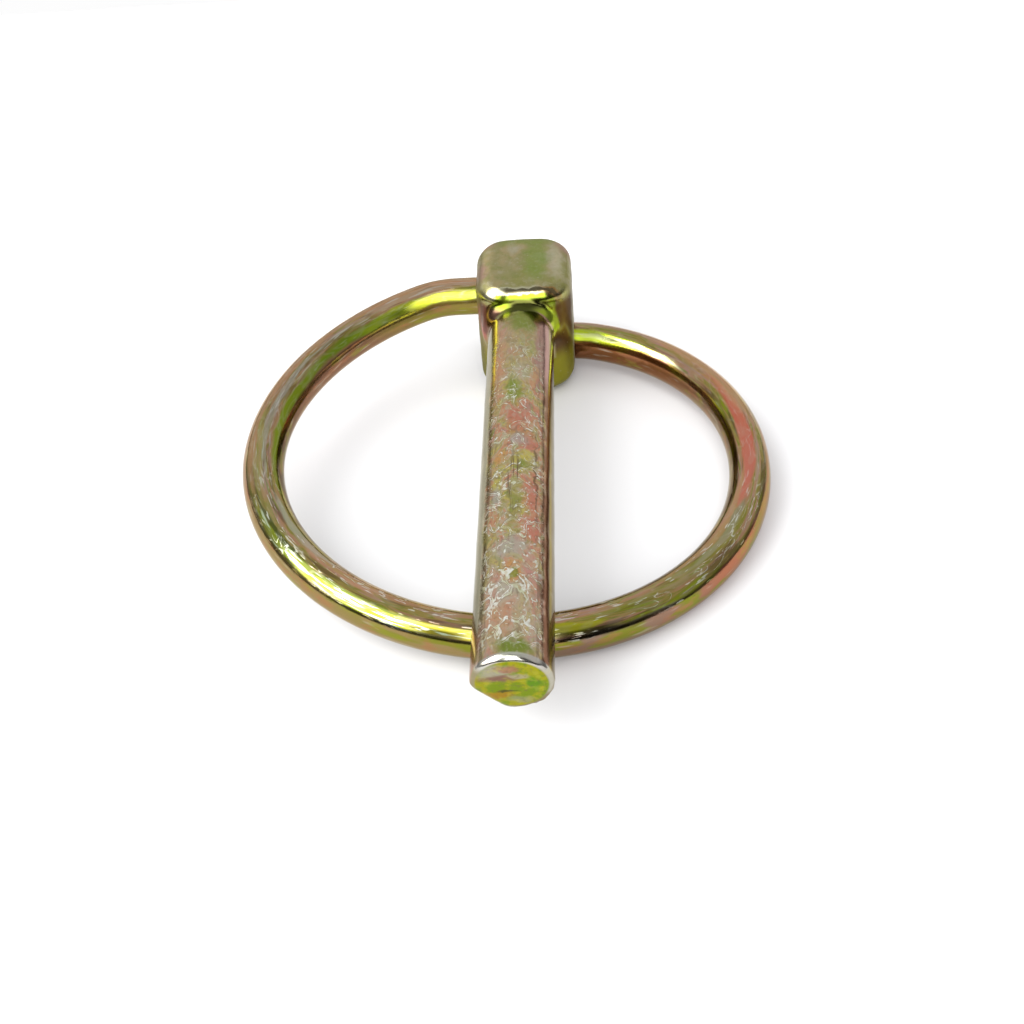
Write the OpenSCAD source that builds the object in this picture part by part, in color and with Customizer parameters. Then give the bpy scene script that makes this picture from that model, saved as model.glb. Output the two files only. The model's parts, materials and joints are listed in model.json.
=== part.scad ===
// Lynch pin: a forged steel pin with a block head, and a spring-wire ring whose
// two ends turn in cross holes drilled one above the other through the head.
// Frame: millimetres, +Y along the shank from its tip to the head, +Z up,
// origin on the shank's axis where the shank meets the head.

/* [Shank] */
// Diameter of the round shank
shank_d = 6; // [4:0.5:10]
// Length of the shank under the head
shank_l = 45; // [32:1:60]
// Chamfer round the tip
tip_chamfer = 0.4; // [0.2:0.05:1]
// Lean of the cropped tip face away from square, in degrees
tip_slant = 9; // [0:1:12]
// Fillet where the shank runs into the head
neck_r = 0.5; // [0.3:0.1:1]
// How far from the head the shank's slight draft towards the tip begins
draft_from = 33; // [25:1:40]
// How much the shank's radius narrows along the draft
draft = 0.03; // [0.01:0.01:0.1]

/* [Head] */
// Width of the head across the ring's holes
head_w = 8.9; // [8:0.1:12]
// Length of the head along the shank
head_l = 10.6; // [9:0.2:14]
// Height of the head above the shank's axis
head_top = 4.5; // [4:0.1:6]
// Depth of the head below the shank's axis
head_bottom = 7; // [6.8:0.1:9]
// How far the forged head sits to the right of the shank's axis
head_side = 0.35; // [0:0.05:0.5]
// Rounding of the upright corners
head_corner_r = 2.6; // [1:0.1:3]
// Rounding of the top and bottom edges
head_edge_r = 1.3; // [1:0.1:2.5]

/* [Cross holes] */
// Diameter of the two holes the ring's ends turn in
hole_d = 3.7; // [3.2:0.1:4.2]
// Distance between the two hole centres
hole_gap = 5.7; // [5:0.1:6.5]
// Height of the point midway between the holes
hole_mid_z = -1.7; // [-2.4:0.1:-0.8]

/* [Ring] */
// Diameter of the ring's wire
wire_d = 3.5; // [3:0.1:4]
// Radius of the ring to the middle of its wire
ring_r = 20.75; // [18:0.25:24]
// Radius of the tighter bends that turn the wire into the head
bend_r = 8; // [6:0.5:10]
// How much of the half turn each tighter bend takes, in degrees
bend_a = 23; // [18:1:26]
// Length of wire reaching into the head past each bend
end_l = 5.2; // [4:0.2:6]
// Chamfer round the wire's two cut ends
wire_chamfer = 0.3; // [0.1:0.1:0.6]
// How far the ring sits to the left in its holes
ring_shift = 1.2; // [0:0.1:1.2]
// How much the wire's radius thins where the ring is drawn round and bent
wire_thin = 0.01; // [0.005:0.005:0.02]
// Gap left between the closed ring and the shank it presses on
press_gap = 0.02; // [0.01:0.01:0.1]

/* [Hidden] */
$fn = 96;
// how far a solid reaches into the one it joins, or a cutter past what it cuts
bury = 3;
spare = 4;
shank_r = shank_d / 2;
tip_r = shank_r - draft;
wire_r = wire_d / 2;
bent_r = wire_r - wire_thin;
lap_l = 0.3;
lap_ring = lap_l / ring_r * 180 / PI;
lap_bend = lap_l / bend_r * 180 / PI;
head_h = head_top + head_bottom;
head_mid_z = (head_top - head_bottom) / 2;
pivot_y = head_l / 2;

// roll of the ring's halves that sets its two ends hole_gap apart
function ring_turn(roll) = acos(cos(bend_a) * cos(roll));
function ring_lever(turn) =
    ring_r * (2 - sin(bend_a)) + bend_r * tan(turn / 2) * cos(bend_a);
roll_0 = asin(hole_gap / 2 / ring_lever(bend_a));
roll_1 = asin(hole_gap / 2 / ring_lever(ring_turn(roll_0)));
roll = asin(hole_gap / 2 / ring_lever(ring_turn(roll_1)));
turn = ring_turn(roll);

// right half of the ring in its own frame: where the back arc ends, and which way it heads
back_end = [
    ring_r * sin(bend_a) * cos(roll),
    ring_r * cos(bend_a),
    -ring_r * (2 - sin(bend_a)) * sin(roll)
];
back_dir = [-cos(bend_a) * cos(roll), sin(bend_a), -cos(bend_a) * sin(roll)];
across = [-1, 0, 0];
bend_in = (across - back_dir * cos(turn)) / sin(turn);
bend_axis = cross(-bend_in, back_dir);
bend_mid = back_end + bend_r * bend_in;
bend_end = back_end + bend_r * tan(turn / 2) * (back_dir + across);

// lean of the ring about the holes that brings its front up against the shank
front_z = -(shank_r + bent_r + press_gap) / cos(roll) + ring_shift * tan(roll);
lean = asin((hole_mid_z - front_z) / (ring_r + bend_end[1]));
hole_dy = hole_gap / 2 * sin(lean);
hole_dz = hole_gap / 2 * cos(lean);

// rectangle with round corners, made of exact circles and squares
module round_rect(w, h, r) {
    square([w - 2 * r, h], center = true);
    square([w, h - 2 * r], center = true);
    for (sx = [-1, 1], sy = [-1, 1])
        translate([sx * (w / 2 - r), sy * (h / 2 - r)]) circle(r = r);
}

// block head: three crossed prisms round every edge
module head_block() {
    translate([head_side, head_l / 2, head_mid_z])
        intersection() {
            linear_extrude(head_h + spare, center = true)
                round_rect(head_w, head_l, head_corner_r);
            rotate([90, 0, 0])
                linear_extrude(head_l + spare, center = true)
                    round_rect(head_w, head_h, head_edge_r);
            rotate([90, 0, 90])
                linear_extrude(head_w + spare, center = true)
                    round_rect(head_l, head_h, head_edge_r);
        }
}

// shank with its slight draft and chamfered tip, running into the head
module shank_rod() {
    difference() {
        rotate([90, 0, 0]) {
            translate([0, 0, -bury]) cylinder(r = shank_r, h = bury + draft_from);
            translate([0, 0, draft_from])
                cylinder(r1 = shank_r, r2 = tip_r, h = shank_l - tip_chamfer - draft_from);
            translate([0, 0, shank_l - tip_chamfer])
                cylinder(r1 = tip_r, r2 = tip_r - tip_chamfer, h = tip_chamfer);
        }
        // the cropped face leans, its upper edge further out
        translate([0, -shank_l, tip_r - tip_chamfer])
            rotate([tip_slant, 0, 0])
                translate([0, -spare / 2, 0]) cube([2 * shank_d, spare, 3 * shank_d], center = true);
    }
}

// hollow-sided collar where the shank meets the head
module neck_fillet() {
    rotate([90, 0, 0])
        rotate_extrude()
            difference() {
                translate([0, -bury / 2]) square([shank_r + neck_r, bury / 2 + neck_r]);
                translate([shank_r + neck_r, neck_r]) circle(r = neck_r);
            }
}

// the two holes, one above the other, right through the head from side to side
module cross_holes() {
    for (s = [-1, 1])
        translate([0, pivot_y - s * hole_dy, hole_mid_z + s * hole_dz])
            rotate([0, 90, 0]) cylinder(d = hole_d, h = head_w + spare, center = true);
}

module pin() {
    color([0.56, 0.55, 0.30])
        difference() {
            union() {
                head_block();
                shank_rod();
                neck_fillet();
            }
            cross_holes();
        }
}

// back arc, tighter bend and straight end of the ring's right half; each thinner
// bent length runs a little way inside its fuller neighbours
module ring_back() {
    translate([0, 0, -2 * ring_r * sin(roll)])
        rotate([0, -roll, 0])
            rotate_extrude(angle = 90 - bend_a) translate([ring_r, 0]) circle(r = wire_r);
    multmatrix([
        [-bend_in[0], back_dir[0], bend_axis[0], bend_mid[0]],
        [-bend_in[1], back_dir[1], bend_axis[1], bend_mid[1]],
        [-bend_in[2], back_dir[2], bend_axis[2], bend_mid[2]],
        [0, 0, 0, 1]
    ])
        rotate([0, 0, -lap_bend])
            rotate_extrude(angle = turn + 2 * lap_bend)
                translate([bend_r, 0]) circle(r = bent_r);
    translate(bend_end) rotate([0, -90, 0]) {
        cylinder(r = wire_r, h = end_l - wire_chamfer);
        translate([0, 0, end_l - wire_chamfer])
            cylinder(r1 = wire_r, r2 = wire_r - wire_chamfer, h = wire_chamfer);
    }
}

module ring() {
    color([0.52, 0.50, 0.26])
        translate([-ring_shift, pivot_y, hole_mid_z])
            rotate([lean, 0, 0])
                translate([0, -bend_end[1], 0])
                    union() {
                        rotate([0, roll, 0]) rotate([0, 0, 180 - lap_ring])
                            rotate_extrude(angle = 180 + 2 * lap_ring)
                                translate([ring_r, 0]) circle(r = bent_r);
                        ring_back();
                        rotate([0, 180, 0]) ring_back();
                    }
}

pin();
ring();
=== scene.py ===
import math

import bmesh
import bpy
import json
from mathutils import Matrix, Vector, noise


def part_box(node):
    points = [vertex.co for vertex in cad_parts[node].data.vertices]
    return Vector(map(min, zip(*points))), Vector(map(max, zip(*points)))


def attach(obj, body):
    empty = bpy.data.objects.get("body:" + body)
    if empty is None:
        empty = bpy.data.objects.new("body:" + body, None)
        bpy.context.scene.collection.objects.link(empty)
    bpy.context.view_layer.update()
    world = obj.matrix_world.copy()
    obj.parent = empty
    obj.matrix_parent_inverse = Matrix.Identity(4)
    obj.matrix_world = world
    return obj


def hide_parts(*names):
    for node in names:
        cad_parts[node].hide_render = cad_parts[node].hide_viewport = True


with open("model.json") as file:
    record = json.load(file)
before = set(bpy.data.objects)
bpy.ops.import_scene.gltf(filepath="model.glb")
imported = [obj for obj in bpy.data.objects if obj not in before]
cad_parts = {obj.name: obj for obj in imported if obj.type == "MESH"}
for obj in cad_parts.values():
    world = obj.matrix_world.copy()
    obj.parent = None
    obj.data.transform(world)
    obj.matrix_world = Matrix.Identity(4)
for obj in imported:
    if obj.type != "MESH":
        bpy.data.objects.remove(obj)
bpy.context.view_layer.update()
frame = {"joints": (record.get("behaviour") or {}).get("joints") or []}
mm = 0.001

# ---------------------------------------------------------------- pin
# The pin is cold forged from one steel bar: a round shank that runs into a block head,
# which is drilled across twice for the ring's ends. The tip is cropped and chamfered.
# Forging and plating leave its edges soft, so the built shape is skinned over finely.
pin_low, pin_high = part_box("pin")
shank_r = 3.0 * mm
shank_l = -pin_low.y
shank_sides = 96
tip_chamfer = 0.4 * mm
tip_slant = math.radians(9)
nick_at = Vector((-1.32, -44.8, -1.62)) * mm
nick_facing = Vector((-0.62, -0.45, -0.64)).normalized()
neck_r = 1.2 * mm
neck_turn = math.radians(62.3)
neck_start = -0.88 * mm
neck_steps = 7
collar_l = 1.0 * mm
buried = 2.0 * mm
head_low, head_high = Vector((pin_low.x, 0, pin_low.z)), pin_high
head_size = head_high - head_low
head_corner = 3.0 * mm
head_edge = 1.6 * mm
hole_r = 1.85 * mm
hole_places = (Vector((0, 5.09, 1.142)) * mm, Vector((0, 5.51, -4.542)) * mm)
skin = 0.15 * mm


def built(name, shape):
    """An object of its own with the shape's mesh."""
    made = bpy.data.objects.new(name, bpy.data.meshes.new(name))
    bpy.context.scene.collection.objects.link(made)
    bmesh.ops.recalc_face_normals(shape, faces=shape.faces)
    shape.to_mesh(made.data)
    shape.free()
    return made


def settled(made):
    """The object's mesh becomes what its modifiers make of it."""
    done = bpy.data.meshes.new_from_object(made.evaluated_get(bpy.context.evaluated_depsgraph_get()))
    made.modifiers.clear()
    made.data = done


# the head starts as a block whose upright corners, then its other edges, are rounded
shape = bmesh.new()
bmesh.ops.create_cube(shape, size=1, matrix=Matrix.Translation((head_low + head_high) / 2)
                      @ Matrix.Diagonal((*head_size, 1)))
upright = [e for e in shape.edges if abs(e.verts[0].co.z - e.verts[1].co.z) > 1 * mm]
bmesh.ops.bevel(shape, geom=upright, offset=head_corner, segments=10, profile=0.5,
                affect="EDGES", material=-1)
rims = [e for e in shape.edges if abs(e.verts[0].co.z - e.verts[1].co.z) < 0.1 * mm]
bmesh.ops.bevel(shape, geom=rims, offset=head_edge, segments=8, profile=0.5,
                affect="EDGES", material=-1)
pin = built("pin_body", shape)

# both holes go right through it
shape = bmesh.new()
for hole_place in hole_places:
    bmesh.ops.create_cone(shape, cap_ends=True, segments=64, radius1=hole_r, radius2=hole_r,
                          depth=3 * head_size.x,
                          matrix=Matrix.Translation(hole_place) @ Matrix.Rotation(math.pi / 2, 4, "Y"))
drill = built("drill", shape)
drilled = pin.modifiers.new("holes", "BOOLEAN")
drilled.operation = "DIFFERENCE"
drilled.object = drill
settled(pin)
bpy.data.objects.remove(drill)

# the shank is turned from its outline, flared into the neck and buried in the head
outline = []
for step in range(neck_steps + 1):
    around = neck_turn * step / neck_steps
    outline.append((shank_r + neck_r * (1 - math.cos(around)), neck_start + neck_r * math.sin(around)))
collar_r = outline[-1][0]
outline = [(0, buried), (shank_r, buried), (collar_r, collar_l)] + outline[::-1]
outline += [(shank_r, -shank_l + tip_chamfer), (shank_r - tip_chamfer, -shank_l), (0, -shank_l)]
shape = bmesh.new()
shape.from_mesh(pin.data)
turned = [shape.verts.new((x, y, 0)) for x, y in outline]
turned_edges = [shape.edges.new(pair) for pair in zip(turned, turned[1:])]
bmesh.ops.spin(shape, geom=turned + turned_edges, axis=(0, 1, 0), cent=(0, 0, 0), dvec=(0, 0, 0),
               angle=2 * math.pi, steps=shank_sides, use_merge=True)
bmesh.ops.remove_doubles(shape, verts=shape.verts, dist=0.001 * mm)

# the tip is cropped at a slant, and its lower left edge is nicked off
crop_at = Vector((0, -shank_l, shank_r - tip_chamfer))
crop_facing = Vector((0, -math.cos(tip_slant), -math.sin(tip_slant)))
for cut_at, cut_facing in ((crop_at, crop_facing), (nick_at, nick_facing)):
    tip = [v for v in shape.verts if v.co.y < -1 * mm]
    tip_geom = list({g for v in tip for g in (v, *v.link_edges, *v.link_faces)})
    cut = bmesh.ops.bisect_plane(shape, geom=tip_geom, plane_co=cut_at, plane_no=cut_facing,
                                 clear_outer=True)
    rim = [g for g in cut["geom_cut"] if isinstance(g, bmesh.types.BMEdge)]
    bmesh.ops.holes_fill(shape, edges=rim, sides=0)
bmesh.ops.recalc_face_normals(shape, faces=shape.faces)
shape.to_mesh(pin.data)
shape.free()
skinned = pin.modifiers.new("skin", "REMESH")
skinned.mode = "VOXEL"
skinned.voxel_size = skin
settled(pin)

# the skin is worn smooth, most of all at the head's back, the neck and the nick
shape = bmesh.new()
shape.from_mesh(pin.data)
head_back = [v for v in shape.verts
             if v.co.y > 2.2 * mm or v.co.z < 2.0 * mm and v.co.y > -0.5 * mm]
neck_sides = [v for v in shape.verts
              if -0.6 * mm < v.co.y < 3.2 * mm and -3.6 * mm < v.co.z < 2.9 * mm
              and math.hypot(v.co.x, v.co.z) > 3.05 * mm]
nicked = [v for v in shape.verts if v.co.y < -43 * mm and v.co.x + v.co.z < -1.0 * mm]
for worn, passes in ((list(shape.verts), 7), (head_back, 8), (neck_sides, 40), (nicked, 14)):
    for step in range(passes):
        bmesh.ops.smooth_vert(shape, verts=worn, factor=0.5,
                              use_axis_x=True, use_axis_y=True, use_axis_z=True)

# and it is never quite flat: long shallow waves, and dents that are deeper on the head
wave_size, wave_depth = 2.6 * mm, 0.022 * mm
dent_size, shank_dent, head_dent = 1.5 * mm, 0.010 * mm, 0.035 * mm
shape.normal_update()
for v in shape.verts:
    dent_depth = head_dent if v.co.y > -1.2 * mm else shank_dent
    v.co += v.normal * noise.noise(v.co / wave_size) * wave_depth
    v.co += v.normal * noise.noise(v.co / dent_size) * dent_depth
for face in shape.faces:
    face.smooth = True
shape.to_mesh(pin.data)
shape.free()


def add(tree, kind, values=(), **settings):
    """A node of a kind with its settings, and its inputs linked or set from values."""
    made = tree.nodes.new(kind)
    for name, value in settings.items():
        setattr(made, name, value)
    for name, value in dict(values).items():
        if isinstance(value, bpy.types.NodeSocket):
            tree.links.new(value, made.inputs[name])
        else:
            made.inputs[name].default_value = value
    return made


def math_of(tree, operation, a, b=0.0):
    """The result of one sum on two values."""
    return add(tree, "ShaderNodeMath", {0: a, 1: b}, operation=operation).outputs[0]


def times(tree, a, b):
    """One value times another."""
    return math_of(tree, "MULTIPLY", a, b)


def plus(tree, a, b):
    """The sum of two values."""
    return math_of(tree, "ADD", a, b)


def most(tree, a, b):
    """The greater of two values."""
    return math_of(tree, "MAXIMUM", a, b)


def rise(tree, value, start, end):
    """0 before start, 1 after end, and a smooth rise between them."""
    made = add(tree, "ShaderNodeMapRange", {"Value": value, "From Min": start, "From Max": end},
               interpolation_type="SMOOTHSTEP")
    return made.outputs["Result"]


def window(tree, value, low, high, soft):
    """1 between low and high, 0 outside them, with soft edges."""
    return times(tree, rise(tree, value, low - soft / 2, low + soft / 2),
                 rise(tree, value, high + soft / 2, high - soft / 2))


def stretched(tree, place, stretch):
    """Places, squeezed so that a pattern on them comes out stretched."""
    return add(tree, "ShaderNodeMapping", {"Vector": place, "Scale": stretch},
               vector_type="TEXTURE").outputs["Vector"]


def cloud(tree, place, size, detail=2.0, rough=0.5, warp=0.0):
    """Soft noise with features of about that size."""
    return add(tree, "ShaderNodeTexNoise", {
        "Vector": place, "Scale": 1 / size, "Detail": detail, "Roughness": rough, "Distortion": warp,
    }).outputs["Fac"]


def thread(tree, field, level, width):
    """1 on the line where a field passes a level, fading to 0 at width."""
    off = math_of(tree, "ABSOLUTE", math_of(tree, "SUBTRACT", field, level))
    return rise(tree, math_of(tree, "DIVIDE", off, width), 1.0, 0.3)


def laid(tree, under, over, share):
    """One colour laid over another by a share."""
    made = add(tree, "ShaderNodeMix", data_type="RGBA")
    for name, value in (("Factor_Float", share), ("A_Color", under), ("B_Color", over)):
        socket = next(i for i in made.inputs if i.identifier == name)
        if isinstance(value, bpy.types.NodeSocket):
            tree.links.new(value, socket)
        else:
            socket.default_value = (*value, 1.0) if isinstance(value, tuple) else value
    return next(o for o in made.outputs if o.identifier == "Result_Color")


def of_places(tree, operation, a, b):
    """The node that does one sum on two places."""
    return add(tree, "ShaderNodeVectorMath", {0: a, 1: b}, operation=operation)


def spot(tree, place, centre, reach, soft=0.5):
    """1 inside an oval spot of that reach about a centre, fading out over its edge."""
    off = of_places(tree, "SUBTRACT", place, centre).outputs[0]
    off = of_places(tree, "DIVIDE", off, reach).outputs[0]
    off = add(tree, "ShaderNodeVectorMath", {0: off}, operation="LENGTH").outputs["Value"]
    return rise(tree, off, 1 + soft, 1 - soft)


def patched(tree, under, place, patches, soft):
    """A colour with ragged patches laid over it, each by its shade, centre, reach and share."""
    for shade, centre, reach, share in patches:
        under = laid(tree, under, shade, times(tree, spot(tree, place, centre, reach, soft), share))
    return under


def shaken(tree, place, size, reach):
    """Places pushed about by noise, so that what is drawn on them has ragged outlines."""
    push = add(tree, "ShaderNodeTexNoise", {"Vector": place, "Scale": 1 / size, "Detail": 3.0})
    push = of_places(tree, "SUBTRACT", push.outputs["Color"], (0.5, 0.5, 0.5)).outputs[0]
    push = of_places(tree, "MULTIPLY", push, reach).outputs[0]
    return of_places(tree, "ADD", place, push).outputs[0]


def banded(tree, film, bands):
    """Colours that follow one another as a film's thickness grows."""
    made = add(tree, "ShaderNodeValToRGB", {"Fac": film})
    stops = made.color_ramp.elements
    stops.remove(stops[1])
    stops[0].position, stops[0].color = bands[0][0], (*bands[0][1], 1.0)
    for level, shade in bands[1:]:
        stops.new(level).color = (*shade, 1.0)
    return made.outputs["Color"]


tan = (0.52, 0.40, 0.19)
moss = (0.38, 0.35, 0.11)
green = (0.25, 0.32, 0.045)
yellow = (0.60, 0.52, 0.12)
salmon = (0.62, 0.33, 0.19)
rose = (0.60, 0.21, 0.15)
orange = (0.66, 0.34, 0.12)
mauve = (0.43, 0.25, 0.22)
ash = (0.54, 0.50, 0.38)
salt = (0.86, 0.88, 0.80)
brown = (0.15, 0.09, 0.05)

# patterns on the pin read its own places, in millimetres across, along and up it
plated = bpy.data.materials.new("pin_plating")
plated.use_nodes = True
coat = plated.node_tree
metal = coat.nodes["Principled BSDF"]
place = add(coat, "ShaderNodeMapping", {
    "Vector": add(coat, "ShaderNodeTexCoord").outputs["Object"], "Scale": (1 / mm, 1 / mm, 1 / mm),
}).outputs["Vector"]
across_pin, along_pin, up_pin = add(coat, "ShaderNodeSeparateXYZ", {0: place}).outputs[:3]
off_centre = math_of(coat, "ABSOLUTE", across_pin)
around_axis = plus(coat, times(coat, across_pin, across_pin), times(coat, up_pin, up_pin))
around_axis = math_of(coat, "SQRT", around_axis)
ragged = shaken(coat, place, 1.1, (1.3, 2.2, 1.0))
ragged_up = add(coat, "ShaderNodeSeparateXYZ", {0: ragged}).outputs[2]
long_cells = stretched(coat, place, (1.0, 2.0, 1.0))
on_shank = rise(coat, along_pin, -0.6, -2.2)
on_head = rise(coat, along_pin, -0.2, 0.8)
rightwards = rise(coat, across_pin, -0.5, 0.5)

# the plating's film thickens and thins, and its colour follows
film = cloud(coat, stretched(coat, place, (1.0, 1.7, 1.0)), 1.3, 2.5, 0.6, 0.6)
film = plus(coat, film, times(coat, across_pin, 0.010))
film_colours = (
    (0.30, green), (0.355, moss), (0.40, yellow), (0.43, tan), (0.455, moss), (0.48, tan),
    (0.50, ash), (0.53, salmon), (0.575, salmon), (0.61, rose), (0.65, mauve), (0.70, moss),
)
shank_colour = laid(coat, tan, banded(coat, film, film_colours), 0.85)
soft_film = cloud(coat, stretched(coat, place, (1.0, 1.6, 1.0)), 3.0, 2.0, 0.6)
head_colours = (
    (0.34, (0.31, 0.30, 0.10)), (0.46, (0.34, 0.31, 0.14)),
    (0.56, (0.42, 0.34, 0.17)), (0.66, (0.44, 0.40, 0.26)),
)
colour = laid(coat, banded(coat, soft_film, head_colours), shank_colour, on_shank)

# the head is smeared paler and darker, and the shank is mottled except near the head
pale_smear = (0.48, 0.43, 0.30)
dark_smear = (0.22, 0.25, 0.06)
tint = cloud(coat, long_cells, 0.7, 2.0, 0.6)
smear = cloud(coat, place, 1.2, 3.0, 0.6)
smeared = times(coat, on_head, 0.45)
colour = laid(coat, colour, pale_smear, times(coat, rise(coat, smear, 0.53, 0.68), smeared))
colour = laid(coat, colour, dark_smear, times(coat, rise(coat, smear, 0.47, 0.33), smeared))
fine = times(coat, on_shank, rise(coat, along_pin, 6.0, -18.0))
colour = laid(coat, colour, moss, times(coat, rise(coat, tint, 0.54, 0.64), times(coat, fine, 0.42)))
colour = laid(coat, colour, salmon, times(coat, rise(coat, tint, 0.46, 0.36), times(coat, fine, 0.38)))
dusky_pink = (0.50, 0.33, 0.25)
dull_olive = (0.38, 0.37, 0.17)
blush = (0.58, 0.42, 0.34)
smooth_shade = laid(coat, dusky_pink, dull_olive, rise(coat, soft_film, 0.44, 0.56))
smooth = times(coat, on_shank, times(coat, rise(coat, along_pin, -14.0, -5.0), 0.60))
colour = laid(coat, colour, smooth_shade, smooth)
paler = times(coat, rise(coat, along_pin, -30.0, -39.0), on_shank)
colour = laid(coat, colour, blush, times(coat, paler, 0.36))

# patches where the film is thicker or thinner than around them
grass = (0.20, 0.27, 0.03)
head_green = (0.22, 0.31, 0.05)
pin_patches = (
    (green, (-0.2, -13.4, 2.9), (0.7, 1.5, 1.2), 0.85),
    (rose, (0.2, -17.4, 2.9), (1.1, 2.0, 1.2), 0.85),
    (rose, (1.1, -20.6, 2.8), (0.8, 1.3, 1.2), 0.70),
    (rose, (1.4, -27.2, 2.7), (0.7, 1.7, 1.2), 0.85),
    (rose, (1.5, -31.2, 2.6), (0.7, 1.5, 1.2), 0.75),
    (yellow, (0.9, -22.3, 2.8), (0.5, 0.6, 1.0), 0.85),
    (orange, (-1.2, -22.2, 2.7), (0.6, 0.9, 1.0), 0.90),
    (yellow, (-1.2, -25.8, 2.7), (0.5, 0.8, 1.0), 0.90),
    (moss, (0.1, -28.5, 2.9), (0.4, 3.6, 1.0), 0.60),
    (orange, (0.1, -36.0, 3.0), (0.7, 1.0, 1.0), 0.90),
    (green, (0.2, -36.3, 3.0), (0.25, 0.4, 1.0), 0.80),
    (salmon, (-0.9, -40.6, 2.9), (1.2, 2.2, 1.2), 0.70),
    (salmon, (-1.7, -9.5, 2.4), (0.6, 5.5, 1.2), 0.80),
    (ash, (0.2, -10.6, 3.0), (0.8, 1.4, 1.0), 0.45),
    ((0.47, 0.42, 0.38), (0.3, -20.2, 3.0), (0.7, 0.8, 1.0), 0.75),
    ((0.44, 0.42, 0.38), (-1.3, -27.0, 2.7), (0.35, 1.0, 1.0), 0.70),
    ((0.48, 0.45, 0.40), (-0.2, -33.4, 3.0), (1.2, 1.1, 1.0), 0.70),
    ((0.56, 0.52, 0.46), (-0.6, -38.2, 2.9), (1.0, 1.2, 1.0), 0.65),
    ((0.60, 0.32, 0.24), (-1.4, -38.8, 2.7), (0.5, 1.2, 1.0), 0.75),
    ((0.60, 0.30, 0.26), (1.4, -35.6, 2.6), (0.6, 1.6, 1.0), 0.65),
    ((0.15, 0.08, 0.05), (1.75, -24.5, 2.4), (0.10, 5.0, 0.6), 0.75),
    (grass, (0.4, -2.2, 3.0), (1.5, 2.0, 0.9), 0.85),
    (rose, (2.2, -2.6, 2.0), (0.6, 2.2, 1.2), 0.60),
    (mauve, (2.1, -6.0, 2.0), (0.6, 6.0, 1.2), 0.90),
    (grass, (0.3, -43.9, 2.9), (1.4, 1.1, 0.9), 0.95),
    (head_green, (1.6, 5.5, 4.5), (1.1, 3.4, 0.8), 0.75),
    (head_green, (0.6, 9.6, 4.1), (3.0, 1.4, 1.0), 0.60),
    (mauve, (-3.6, 4.2, 3.6), (0.8, 1.6, 1.0), 0.80),
    (mauve, (-3.2, 9.4, 3.6), (1.2, 1.6, 1.2), 0.60),
    (ash, (3.4, 5.4, 4.3), (0.7, 3.0, 0.8), 0.55),
    (mauve, (4.2, 8.8, 3.6), (1.0, 2.0, 1.2), 0.70),
)
colour = patched(coat, colour, ragged, pin_patches, 0.5)
grit = (0.20, 0.15, 0.07)
speck = cloud(coat, stretched(coat, place, (1.0, 1.5, 1.0)), 0.30, 2.0, 0.6)
speckled = plus(coat, 0.14, times(coat, fine, 0.22))
colour = laid(coat, colour, grit, times(coat, rise(coat, speck, 0.54, 0.68), speckled))
colour = laid(coat, colour, ash, times(coat, rise(coat, speck, 0.46, 0.32), speckled))

# pale crystals creep over the shank in curled veins, thickest towards the tip
veined = times(coat, rise(coat, up_pin, 1.75, 2.2), rise(coat, along_pin, -2.5, -8.0))
veined = times(coat, veined, rise(coat, along_pin, -44.2, -42.6))
dense = times(coat, rise(coat, along_pin, -8.0, -36.0), 0.09)
gate = plus(coat, cloud(coat, long_cells, 1.6, 1.0), dense)
curl = cloud(coat, stretched(coat, place, (0.9, 1.3, 0.9)), 1.1, 0.0, 0.5, 0.7)
breaks = cloud(coat, place, 0.48, 1.0)
thick = plus(coat, 0.018, times(coat, rise(coat, breaks, 0.46, 0.70), 0.038))
thicker = times(coat, rise(coat, along_pin, -30.0, -37.0), 0.9)
thick = times(coat, thick, plus(coat, 1.0, thicker))
curls = rise(coat, plus(coat, breaks, times(coat, gate, 0.8)), 0.885, 0.955)
curls = times(coat, thread(coat, curl, 0.5, thick), curls)
rings = rise(coat, math_of(coat, "SUBTRACT", gate, times(coat, breaks, 0.5)), 0.26, 0.33)
rings = times(coat, thread(coat, curl, 0.40, times(coat, thick, 0.8)), rings)
flecks = cloud(coat, stretched(coat, place, (0.8, 1.2, 0.8)), 0.30, 1.0)
flecks = times(coat, rise(coat, flecks, 0.64, 0.72), rise(coat, gate, 0.44, 0.54))
veins = times(coat, most(coat, most(coat, curls, rings), flecks), veined)

# a bloom lies round the veins and frost near the tip, and a painted shade line beside each vein gives it
# relief
frost = rise(coat, cloud(coat, place, 1.1, 2.0), 0.42, 0.62)
frost = times(coat, rise(coat, along_pin, -36.0, -41.5), frost)
bloom = most(coat, thread(coat, curl, 0.5, 0.09), frost)
colour = laid(coat, colour, ash, times(coat, times(coat, bloom, veined), 0.28))
# painted shade: a thin dark line along one side of each vein, for the shade of its relief
vein_painted_shade = times(coat, thread(coat, curl, 0.555, 0.030), rise(coat, gate, 0.46, 0.56))
colour = laid(coat, colour, brown, times(coat, times(coat, vein_painted_shade, veined), 0.34))
green_salt = (0.64, 0.66, 0.46)
crystal = laid(coat, salt, green_salt, rise(coat, tint, 0.46, 0.60))
vein_share = times(coat, rise(coat, speck, 0.20, 0.60), rise(coat, along_pin, 24.0, -30.0))
colour = laid(coat, colour, crystal, times(coat, veins, vein_share))

# fine dark draw lines run along the shank beside its bright top, and in its middle
strands = cloud(coat, stretched(coat, place, (0.16, 4.0, 0.30)), 1.0, 2.0, 0.5)
beside = times(coat, times(coat, rise(coat, off_centre, 1.5, 1.9), on_shank), 0.45)
middle = times(coat, spot(coat, place, (0.0, -25.6, 3.0), (0.5, 3.4, 1.0)), 0.9)
drawn = times(coat, rise(coat, strands, 0.52, 0.62), most(coat, beside, middle))
colour = laid(coat, colour, brown, drawn)
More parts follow.
